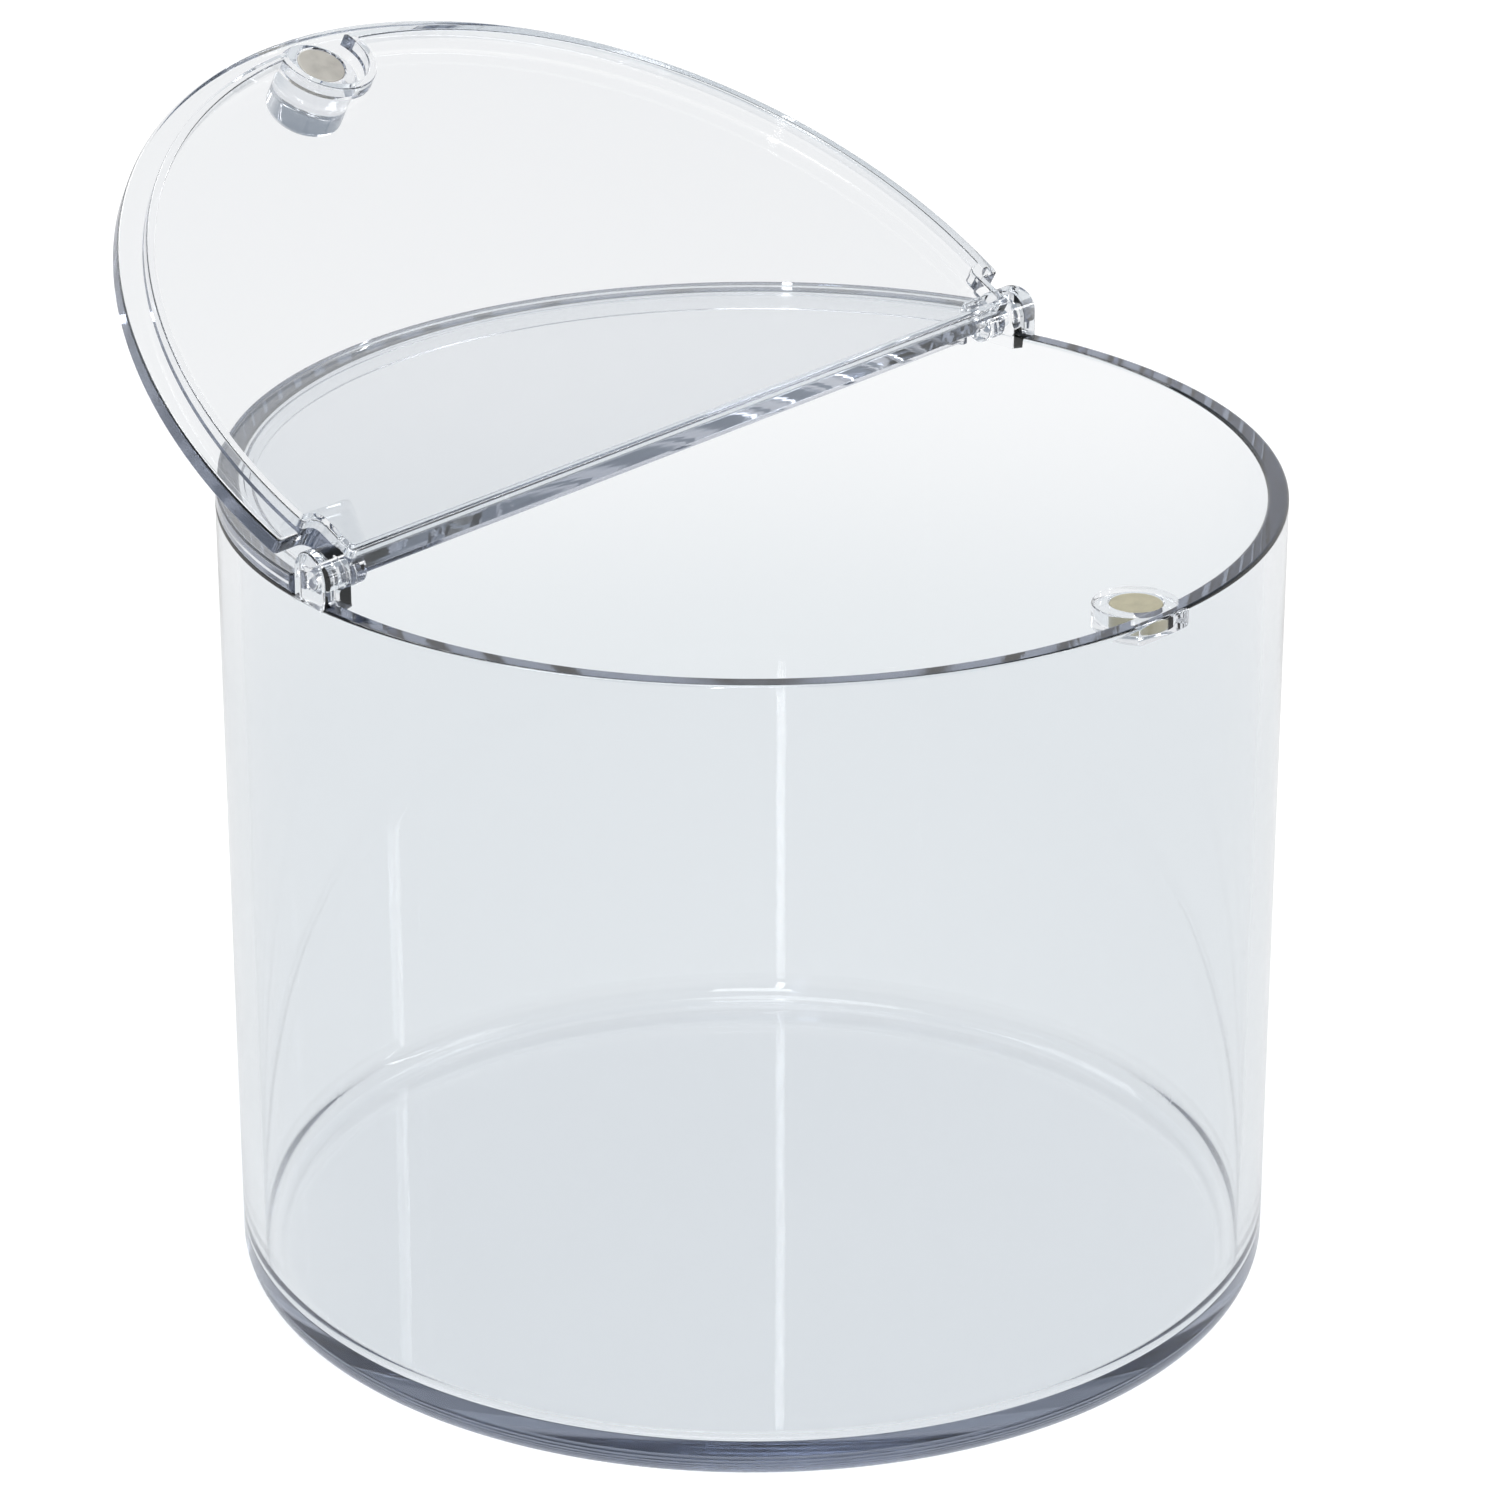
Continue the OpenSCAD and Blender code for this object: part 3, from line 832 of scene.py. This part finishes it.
def dull_plating(name, colour):
    """Dull nickel plating of a disc magnet."""
    material = bpy.data.materials.new(name)
    material.use_nodes = True
    tree = material.node_tree
    tree.nodes.clear()
    n = new_nodes(tree, {
        "Place": ("ShaderNodeTexCoord", {}),
        "Plating wear": ("ShaderNodeGroup", {"node_tree": plating_wear_group()}),
        "Orange peel": ("ShaderNodeBump", {}),
        "Nickel": ("ShaderNodeBsdfPrincipled", {}),
        "Output": ("ShaderNodeOutputMaterial", {}),
    })
    link = tree.links.new
    link(n["Place"].outputs["Object"], n["Plating wear"].inputs["Vector"])
    n["Plating wear"].inputs["Plating"].default_value = (*colour, 1.0)
    n["Plating wear"].inputs["Tarnish"].default_value = (*(TARNISH_SHADE * part for part in colour), 1.0)
    link(n["Plating wear"].outputs["Color"], n["Nickel"].inputs["Base Color"])
    link(n["Plating wear"].outputs["Roughness"], n["Nickel"].inputs["Roughness"])
    link(n["Plating wear"].outputs["Height"], n["Orange peel"].inputs["Height"])
    n["Orange peel"].inputs["Strength"].default_value = 0.15
    n["Orange peel"].inputs["Distance"].default_value = 0.0001
    link(n["Orange peel"].outputs["Normal"], n["Nickel"].inputs["Normal"])
    n["Nickel"].inputs["Metallic"].default_value = 0.35
    link(n["Nickel"].outputs["BSDF"], n["Output"].inputs["Surface"])
    return material


# Stage

def floor_material(stage):
    """Pale floor that keeps the shadow and is whiter where it is seen. Through the plastic it is a glow
    with painted shade near the bin that turns white further out.
    """
    material = bpy.data.materials.new("pale_floor")
    material.use_nodes = True
    tree = material.node_tree
    tree.nodes.clear()
    n = new_nodes(tree, {
        "Ray": ("ShaderNodeLightPath", {}),
        "Seen": ("ShaderNodeMath", {"operation": "MAXIMUM"}),
        "Glow": ("ShaderNodeMath", {"operation": "MULTIPLY"}),
        "White": ("ShaderNodeEmission", {}),
        "Matt": ("ShaderNodeBsdfDiffuse", {}),
        "Floor": ("ShaderNodeAddShader", {}),
        "Through share": ("ShaderNodeMath", {"operation": "MULTIPLY"}),
        "Place": ("ShaderNodeTexCoord", {}),
        "Distance": ("ShaderNodeVectorMath", {"operation": "LENGTH"}),
        "Far": ("ShaderNodeMapRange", {"interpolation_type": "SMOOTHSTEP"}),
        "Near or far": ("ShaderNodeMix", {"data_type": "RGBA"}),
        "Backdrop": ("ShaderNodeEmission", {}),
        "Floor or backdrop": ("ShaderNodeMixShader", {}),
        "Output": ("ShaderNodeOutputMaterial", {}),
    })
    link = tree.links.new
    link(n["Ray"].outputs["Is Camera Ray"], n["Seen"].inputs[0])
    link(n["Ray"].outputs["Is Transmission Ray"], n["Seen"].inputs[1])
    link(n["Seen"].outputs[0], n["Glow"].inputs[0])
    n["Glow"].inputs[1].default_value = stage.floor_glow
    link(n["Glow"].outputs[0], n["White"].inputs["Strength"])
    n["Matt"].inputs["Color"].default_value = (*stage.floor, 1.0)
    link(n["Matt"].outputs["BSDF"], n["Floor"].inputs[0])
    link(n["White"].outputs["Emission"], n["Floor"].inputs[1])
    # Through the plastic the floor is mostly a glow. Painted shade near the bin fades to white between
    # 0.23 m and 0.43 m out.
    link(n["Ray"].outputs["Is Transmission Ray"], n["Through share"].inputs[0])
    n["Through share"].inputs[1].default_value = 0.85
    link(n["Place"].outputs["Object"], n["Distance"].inputs[0])
    link(n["Distance"].outputs["Value"], n["Far"].inputs["Value"])
    n["Far"].inputs["From Min"].default_value = 0.23
    n["Far"].inputs["From Max"].default_value = 0.43
    link(n["Far"].outputs["Result"], n["Near or far"].inputs["Factor"])
    n["Near or far"].inputs["A"].default_value = (*stage.painted_shade_backdrop, 1.0)
    n["Near or far"].inputs["B"].default_value = (*stage.far_backdrop, 1.0)
    link(n["Near or far"].outputs["Result"], n["Backdrop"].inputs["Color"])
    link(n["Through share"].outputs[0], n["Floor or backdrop"].inputs["Fac"])
    link(n["Floor"].outputs["Shader"], n["Floor or backdrop"].inputs[1])
    link(n["Backdrop"].outputs["Emission"], n["Floor or backdrop"].inputs[2])
    link(n["Floor or backdrop"].outputs["Shader"], n["Output"].inputs["Surface"])
    return material


def studio_world(stage):
    """White round the horizon and below, darker above, so that bent light meets dark at an edge."""
    world = bpy.data.worlds.new("studio")
    bpy.context.scene.world = world
    world.use_nodes = True
    tree = world.node_tree
    tree.nodes.clear()
    n = new_nodes(tree, {
        "Direction": ("ShaderNodeTexCoord", {}),
        "Height": ("ShaderNodeSeparateXYZ", {}),
        "Fade": ("ShaderNodeMapRange", {"interpolation_type": "SMOOTHSTEP"}),
        "Ray": ("ShaderNodeLightPath", {}),
        "Seen or mirrored": ("ShaderNodeMath", {"operation": "MAXIMUM"}),
        "Seen at all": ("ShaderNodeMath", {"operation": "MAXIMUM"}),
        "Shown room": ("ShaderNodeMix", {"data_type": "RGBA"}),
        "Shown or lighting": ("ShaderNodeMix", {"data_type": "RGBA"}),
        "Room": ("ShaderNodeBackground", {}),
        "Output": ("ShaderNodeOutputWorld", {}),
    })
    link = tree.links.new
    link(n["Ray"].outputs["Is Camera Ray"], n["Seen or mirrored"].inputs[0])
    link(n["Ray"].outputs["Is Glossy Ray"], n["Seen or mirrored"].inputs[1])
    link(n["Seen or mirrored"].outputs[0], n["Seen at all"].inputs[0])
    link(n["Ray"].outputs["Is Transmission Ray"], n["Seen at all"].inputs[1])
    link(n["Direction"].outputs["Generated"], n["Height"].inputs["Vector"])
    link(n["Height"].outputs["Z"], n["Fade"].inputs["Value"])
    n["Fade"].inputs["From Min"].default_value = 0.30
    n["Fade"].inputs["From Max"].default_value = 0.62
    link(n["Fade"].outputs["Result"], n["Shown room"].inputs["Factor"])
    n["Shown room"].inputs["A"].default_value = (1.0, 1.0, 1.0, 1.0)
    n["Shown room"].inputs["B"].default_value = (*stage.upper_room, 1.0)
    link(n["Seen at all"].outputs[0], n["Shown or lighting"].inputs["Factor"])
    n["Shown or lighting"].inputs["A"].default_value = (0.62, 0.62, 0.62, 1.0)
    link(n["Shown room"].outputs["Result"], n["Shown or lighting"].inputs["B"])
    link(n["Shown or lighting"].outputs["Result"], n["Room"].inputs["Color"])
    link(n["Room"].outputs["Background"], n["Output"].inputs["Surface"])


def soft_lamp(name, place, target, width, height, power):
    """Rectangular soft lamp that faces a target."""
    lamp = bpy.data.lights.new(name, "AREA")
    lamp.shape = "RECTANGLE"
    lamp.size = width
    lamp.size_y = height
    lamp.energy = power
    item = bpy.data.objects.new(name, lamp)
    item.location = place
    item.rotation_euler = (Vector(target) - Vector(place)).to_track_quat("-Z", "Y").to_euler()
    bpy.context.scene.collection.objects.link(item)


def viewpoint(stage, middle):
    """Camera at the photograph's angle, turned so that the bin's middle lies below the image's."""
    sensor, image, across, down = 36.0, 1500.0, 2.13, 114.96
    data = bpy.data.cameras.new("viewpoint")
    data.sensor_width = sensor
    data.lens = stage.lens
    data.clip_end = 50.0
    item = bpy.data.objects.new("viewpoint", data)
    bpy.context.scene.collection.objects.link(item)
    a, e = stage.azimuth, stage.elevation
    back = Vector((math.sin(a) * math.cos(e), -math.cos(a) * math.cos(e), math.sin(e)))
    right = Vector((math.cos(a), math.sin(a), 0.0))
    up = back.cross(right)
    level = Matrix((right, up, back)).transposed()
    focal = stage.lens / sensor * image
    shown = Vector((across, -down, -focal)).normalized()
    swing = Vector((0.0, 0.0, -1.0)).rotation_difference(shown).to_matrix()
    turned_view = level @ swing.transposed()
    item.matrix_world = Matrix.Translation(Vector(middle) + back * stage.distance) @ turned_view.to_4x4()
    bpy.context.scene.camera = item


# Operators

class CLEARBIN_OT_bin(bpy.types.Operator):
    """Build the clear bin with its ears and its magnet boss"""
    bl_idname = "clear_bin.bin"
    bl_label = "Bin"

    def execute(self, context):
        s = layout(context)
        plastic = clear_plastic(
            "bin_plastic", context.scene.clear_bin_finishes, marks=0.05, waviness=0.05)
        piece("clear_bin", placed(clear_bin_mesh(s)), plastic, "bin_body", "bin")
        return {"FINISHED"}


class CLEARBIN_OT_rear_cover(bpy.types.Operator):
    """Build the fixed rear cover"""
    bl_idname = "clear_bin.rear_cover"
    bl_label = "Rear cover"

    def execute(self, context):
        s = layout(context)
        plastic = clear_plastic(
            "cover_plastic", context.scene.clear_bin_finishes, marks=0.04, waviness=0.03)
        mesh = placed(rear_cover_mesh(s))
        piece("rear_cover_plate", mesh, plastic, "bin_body", "rear_cover")
        return {"FINISHED"}


class CLEARBIN_OT_flap(bpy.types.Operator):
    """Build the flap lid at its open stop"""
    bl_idname = "clear_bin.flap"
    bl_label = "Flap lid"

    def execute(self, context):
        s = layout(context)
        plastic = clear_plastic(
            "flap_plastic", context.scene.clear_bin_finishes, marks=0.04, waviness=0.03)
        mesh = placed(flap_mesh(s), open_stop(s))
        piece("flap_lid_plate", mesh, plastic, "flap", "flap_lid")
        return {"FINISHED"}


class CLEARBIN_OT_magnets(bpy.types.Operator):
    """Build the two disc magnets of the catch"""
    bl_idname = "clear_bin.magnets"
    bl_label = "Catch magnets"

    def execute(self, context):
        s = layout(context)
        finishes = context.scene.clear_bin_finishes
        low = s.rim_height - s.pocket_depth + HAIR
        mesh = placed(magnet_mesh(s, "bin_catch_magnet", low))
        plating = dull_plating("bin_magnet_plating", finishes.bin_magnet)
        piece("bin_catch_magnet", mesh, plating, "bin_body", "bin_magnet")
        low = s.flap_z + s.magnet_sink
        mesh = placed(magnet_mesh(s, "lid_catch_magnet", low), open_stop(s))
        plating = dull_plating("lid_magnet_plating", finishes.lid_magnet)
        piece("lid_catch_magnet", mesh, plating, "flap", "lid_magnet")
        return {"FINISHED"}


class CLEARBIN_OT_stage(bpy.types.Operator):
    """Set up the pale floor, the soft light and the viewpoint"""
    bl_idname = "clear_bin.stage"
    bl_label = "Stage"

    def execute(self, context):
        stage = context.scene.clear_bin_stage
        rings = np.linspace(0.0, 1.0, FLOOR_RINGS)[1:] ** 2 * FLOOR_RADIUS
        angle = np.linspace(0.0, 2.0 * np.pi, FLOOR_SIDES, endpoint=False)
        grid = np.stack([
            rings[:, None] * np.cos(angle), rings[:, None] * np.sin(angle),
            np.full((len(rings), len(angle)), -HAIR * MM)], axis=2)
        points = np.concatenate([grid.reshape(-1, 3), [[0.0, 0.0, -HAIR * MM]]])
        step = np.arange(FLOOR_SIDES)
        quads = np.asarray(band_faces(len(rings), FLOOR_SIDES))[:, ::-1].tolist()
        hub = np.full(FLOOR_SIDES, len(points) - 1)
        fan = np.stack([step, (step + 1) % FLOOR_SIDES, hub], axis=1).tolist()
        mesh = bpy.data.meshes.new("floor")
        mesh.from_pydata(points.tolist(), [], quads + fan)
        mesh.materials.append(floor_material(stage))
        floor = bpy.data.objects.new("floor", mesh)
        context.scene.collection.objects.link(floor)
        studio_world(stage)
        for name, place, width, height, power in LAMPS:
            soft_lamp(name, place, MIDDLE, width, height, power)
        viewpoint(stage, MIDDLE)
        context.scene.view_settings.view_transform = "Standard"
        # Light runs down the wall in many short reflections. If it stops early, rim and foot turn black.
        light_paths = context.scene.cycles
        light_paths.max_bounces = 40
        light_paths.glossy_bounces = 32
        light_paths.transmission_bounces = 32
        return {"FINISHED"}


class CLEARBIN_PT_panel(bpy.types.Panel):
    """Lists the pieces of the clear bin and their sizes."""
    bl_idname = "CLEARBIN_PT_panel"
    bl_label = "Clear bin"
    bl_space_type = "VIEW_3D"
    bl_region_type = "UI"
    bl_category = "Clear bin"

    def draw(self, context):
        column = self.layout.column()
        for operator in OPERATORS:
            column.operator(operator.bl_idname)
        for group in ("clear_bin_finishes", "clear_bin_stage", "clear_bin_sizes"):
            box = column.box()
            settings = getattr(context.scene, group)
            for setting in settings.bl_rna.properties:
                if setting.type == "FLOAT":
                    box.prop(settings, setting.identifier)


OPERATORS = (
    CLEARBIN_OT_bin, CLEARBIN_OT_rear_cover, CLEARBIN_OT_flap, CLEARBIN_OT_magnets, CLEARBIN_OT_stage)
GROUPS = (ClearBinSizes, ClearBinFinishes, ClearBinStage)


def register():
    """Registers the property groups, the operators and the panel."""
    for item in GROUPS + OPERATORS + (CLEARBIN_PT_panel,):
        bpy.utils.register_class(item)
    bpy.types.Scene.clear_bin_sizes = bpy.props.PointerProperty(type=ClearBinSizes)
    bpy.types.Scene.clear_bin_finishes = bpy.props.PointerProperty(type=ClearBinFinishes)
    bpy.types.Scene.clear_bin_stage = bpy.props.PointerProperty(type=ClearBinStage)


def unregister():
    """Takes away what register added."""
    del bpy.types.Scene.clear_bin_stage
    del bpy.types.Scene.clear_bin_finishes
    del bpy.types.Scene.clear_bin_sizes
    for item in reversed(GROUPS + OPERATORS + (CLEARBIN_PT_panel,)):
        bpy.utils.unregister_class(item)


def main():
    """Builds every piece in order."""
    register()
    bpy.ops.clear_bin.bin()
    bpy.ops.clear_bin.rear_cover()
    bpy.ops.clear_bin.flap()
    bpy.ops.clear_bin.magnets()
    bpy.ops.clear_bin.stage()


if __name__ == "__main__":
    main()
